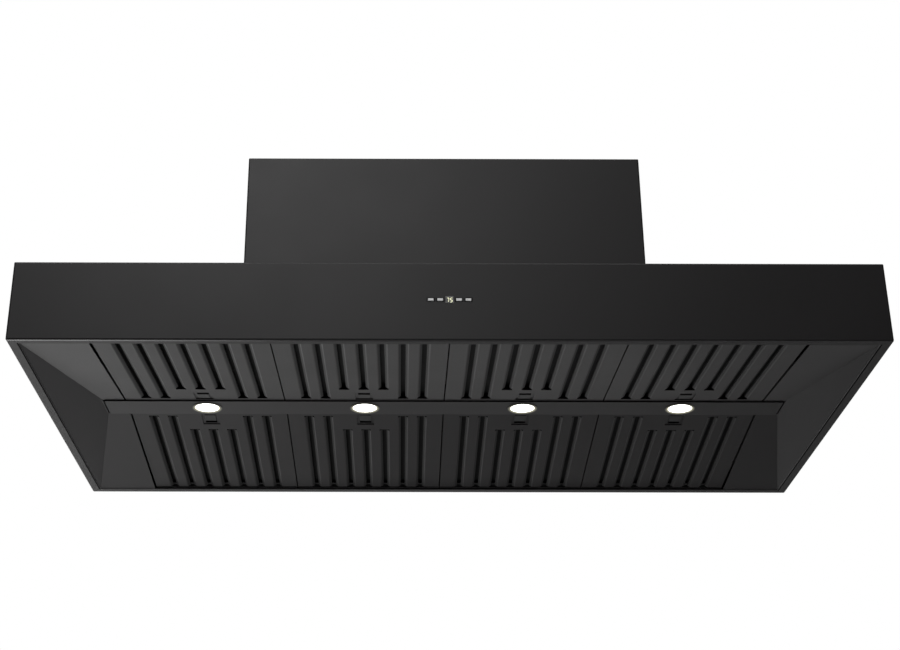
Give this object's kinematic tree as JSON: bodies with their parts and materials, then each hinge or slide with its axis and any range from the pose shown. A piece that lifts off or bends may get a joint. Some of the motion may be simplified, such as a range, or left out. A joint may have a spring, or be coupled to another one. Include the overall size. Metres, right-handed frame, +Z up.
{
  "type": "island range hood",
  "caption": "Satin black ceiling-hung island range hood with hinged baffle filters, a lit ridge bar, push-button controls and a telescoping duct cover.",
  "frame": {"origin": "middle of the ceiling bracket's top face, on the ceiling plane", "axes": "+Z up into the ceiling, +X along the hood's long side, -Y towards the side with the controls"},
  "size_m": [1.219, 0.6869, 0.4],
  "materials": {
    "satin_black": "satin black paint",
    "filter_black": "satin black paint",
    "latch_black": "satin moulded",
    "spring_steel": "plain spring steel",
    "zinc_sheet": "zinc coated",
    "zinc_bolt": "zinc plated",
    "wheel_aluminium": "mill",
    "motor_grey": "matte paint",
    "lamp_body": "black anodised",
    "lamp_lens": "frosted, lit",
    "display": "smooth, lit",
    "button_silver": "satin silver",
    "control_plastic": "moulded",
    "board_green": "solder mask"
  },
  "bodies": {
    "ceiling_frame": {"ceiling_bracket": "zinc_sheet", "upper_posts": "zinc_sheet", "upper_cover": "satin_black"},
    "hood": {"lower_cover": "satin_black", "lower_posts": "zinc_sheet", "post_bolts": "zinc_bolt", "canopy_shell": "satin_black", "canopy_top": "satin_black", "left_liner": "satin_black", "right_liner": "satin_black", "light_bar": "satin_black", "lamp_housings": "lamp_body", "lamp_lenses": "lamp_lens", "display_window": "display", "control_housing": "control_plastic", "control_board": "board_green", "airbox": "zinc_sheet", "blower_volute": "zinc_sheet", "blower_motor": "motor_grey", "outlet_collar": "zinc_sheet", "wiring_box": "zinc_sheet"},
    "blower_wheel": {"blower_wheel": "wheel_aluminium"},
    "left_damper_flap": {"left_damper_flap": "zinc_sheet"},
    "right_damper_flap": {"right_damper_flap": "zinc_sheet"},
    "button_1": {"button_1": "button_silver"},
    "button_2": {"button_2": "button_silver"},
    "button_3": {"button_3": "button_silver"},
    "button_4": {"button_4": "button_silver"},
    "filter_1": {"filter_1_face": "filter_black", "filter_1_baffle": "filter_black"},
    "latch_1": {"filter_1_latch": "latch_black", "filter_1_tongue": "spring_steel"},
    "filter_2": {"filter_2_face": "filter_black", "filter_2_baffle": "filter_black"},
    "latch_2": {"filter_2_latch": "latch_black", "filter_2_tongue": "spring_steel"},
    "filter_3": {"filter_3_face": "filter_black", "filter_3_baffle": "filter_black"},
    "latch_3": {"filter_3_latch": "latch_black", "filter_3_tongue": "spring_steel"},
    "filter_4": {"filter_4_face": "filter_black", "filter_4_baffle": "filter_black"},
    "latch_4": {"filter_4_latch": "latch_black", "filter_4_tongue": "spring_steel"},
    "filter_5": {"filter_5_face": "filter_black", "filter_5_baffle": "filter_black"},
    "latch_5": {"filter_5_latch": "latch_black", "filter_5_tongue": "spring_steel"},
    "filter_6": {"filter_6_face": "filter_black", "filter_6_baffle": "filter_black"},
    "latch_6": {"filter_6_latch": "latch_black", "filter_6_tongue": "spring_steel"},
    "filter_7": {"filter_7_face": "filter_black", "filter_7_baffle": "filter_black"},
    "latch_7": {"filter_7_latch": "latch_black", "filter_7_tongue": "spring_steel"},
    "filter_8": {"filter_8_face": "filter_black", "filter_8_baffle": "filter_black"},
    "latch_8": {"filter_8_latch": "latch_black", "filter_8_tongue": "spring_steel"}
  },
  "joints": [
    {"name": "height_adjust", "type": "slide", "parent": "ceiling_frame", "child": "hood", "axis": [0, 0, -1], "range_m": [0, 0.15]},
    {"name": "wheel_spin", "type": "hinge", "parent": "hood", "child": "blower_wheel", "pos_m": [0, -0.03, -0.235], "axis": [1, 0, 0], "continuous": true},
    {"name": "left_damper", "type": "hinge", "parent": "hood", "child": "left_damper_flap", "pos_m": [-0.004, 0, -0.104], "axis": [0, 1, 0], "range_deg": [0, 78]},
    {"name": "right_damper", "type": "hinge", "parent": "hood", "child": "right_damper_flap", "pos_m": [0.004, 0, -0.104], "axis": [0, -1, 0], "range_deg": [0, 78]},
    {"name": "button_1_press", "type": "slide", "parent": "hood", "child": "button_1", "axis": [0, 1, 0], "range_m": [0, 0.0012], "stiffness_N_per_m": 500, "springref_m": -0.001},
    {"name": "button_2_press", "type": "slide", "parent": "hood", "child": "button_2", "axis": [0, 1, 0], "range_m": [0, 0.0012], "stiffness_N_per_m": 500, "springref_m": -0.001},
    {"name": "button_3_press", "type": "slide", "parent": "hood", "child": "button_3", "axis": [0, 1, 0], "range_m": [0, 0.0012], "stiffness_N_per_m": 500, "springref_m": -0.001},
    {"name": "button_4_press", "type": "slide", "parent": "hood", "child": "button_4", "axis": [0, 1, 0], "range_m": [0, 0.0012], "stiffness_N_per_m": 500, "springref_m": -0.001},
    {"name": "filter_1_swing", "type": "hinge", "parent": "hood", "child": "filter_1", "pos_m": [-0.372, -0.3285, -0.3985], "axis": [-1, 0, 0], "range_deg": [0, 60], "deforming": ["filter_1_tongue"]},
    {"name": "latch_1_slide", "type": "slide", "parent": "filter_1", "child": "latch_1", "axis": [0, -0.9957, -0.093], "range_m": [0, 0.006], "stiffness_N_per_m": 300, "springref_m": -0.006},
    {"name": "filter_2_swing", "type": "hinge", "parent": "hood", "child": "filter_2", "pos_m": [-0.124, -0.3285, -0.3985], "axis": [-1, 0, 0], "range_deg": [0, 60], "deforming": ["filter_2_tongue"]},
    {"name": "latch_2_slide", "type": "slide", "parent": "filter_2", "child": "latch_2", "axis": [0, -0.9957, -0.093], "range_m": [0, 0.006], "stiffness_N_per_m": 300, "springref_m": -0.006},
    {"name": "filter_3_swing", "type": "hinge", "parent": "hood", "child": "filter_3", "pos_m": [0.124, -0.3285, -0.3985], "axis": [-1, 0, 0], "range_deg": [0, 60], "deforming": ["filter_3_tongue"]},
    {"name": "latch_3_slide", "type": "slide", "parent": "filter_3", "child": "latch_3", "axis": [0, -0.9957, -0.093], "range_m": [0, 0.006], "stiffness_N_per_m": 300, "springref_m": -0.006},
    {"name": "filter_4_swing", "type": "hinge", "parent": "hood", "child": "filter_4", "pos_m": [0.372, -0.3285, -0.3985], "axis": [-1, 0, 0], "range_deg": [0, 60], "deforming": ["filter_4_tongue"]},
    {"name": "latch_4_slide", "type": "slide", "parent": "filter_4", "child": "latch_4", "axis": [0, -0.9957, -0.093], "range_m": [0, 0.006], "stiffness_N_per_m": 300, "springref_m": -0.006},
    {"name": "filter_5_swing", "type": "hinge", "parent": "hood", "child": "filter_5", "pos_m": [-0.372, 0.3285, -0.3985], "axis": [1, 0, 0], "range_deg": [0, 60], "deforming": ["filter_5_tongue"]},
    {"name": "latch_5_slide", "type": "slide", "parent": "filter_5", "child": "latch_5", "axis": [0, 0.9957, -0.093], "range_m": [0, 0.006], "stiffness_N_per_m": 300, "springref_m": -0.006},
    {"name": "filter_6_swing", "type": "hinge", "parent": "hood", "child": "filter_6", "pos_m": [-0.124, 0.3285, -0.3985], "axis": [1, 0, 0], "range_deg": [0, 60], "deforming": ["filter_6_tongue"]},
    {"name": "latch_6_slide", "type": "slide", "parent": "filter_6", "child": "latch_6", "axis": [0, 0.9957, -0.093], "range_m": [0, 0.006], "stiffness_N_per_m": 300, "springref_m": -0.006},
    {"name": "filter_7_swing", "type": "hinge", "parent": "hood", "child": "filter_7", "pos_m": [0.124, 0.3285, -0.3985], "axis": [1, 0, 0], "range_deg": [0, 60], "deforming": ["filter_7_tongue"]},
    {"name": "latch_7_slide", "type": "slide", "parent": "filter_7", "child": "latch_7", "axis": [0, 0.9957, -0.093], "range_m": [0, 0.006], "stiffness_N_per_m": 300, "springref_m": -0.006},
    {"name": "filter_8_swing", "type": "hinge", "parent": "hood", "child": "filter_8", "pos_m": [0.372, 0.3285, -0.3985], "axis": [1, 0, 0], "range_deg": [0, 60], "deforming": ["filter_8_tongue"]},
    {"name": "latch_8_slide", "type": "slide", "parent": "filter_8", "child": "latch_8", "axis": [0, 0.9957, -0.093], "range_m": [0, 0.006], "stiffness_N_per_m": 300, "springref_m": -0.006}
  ]
}
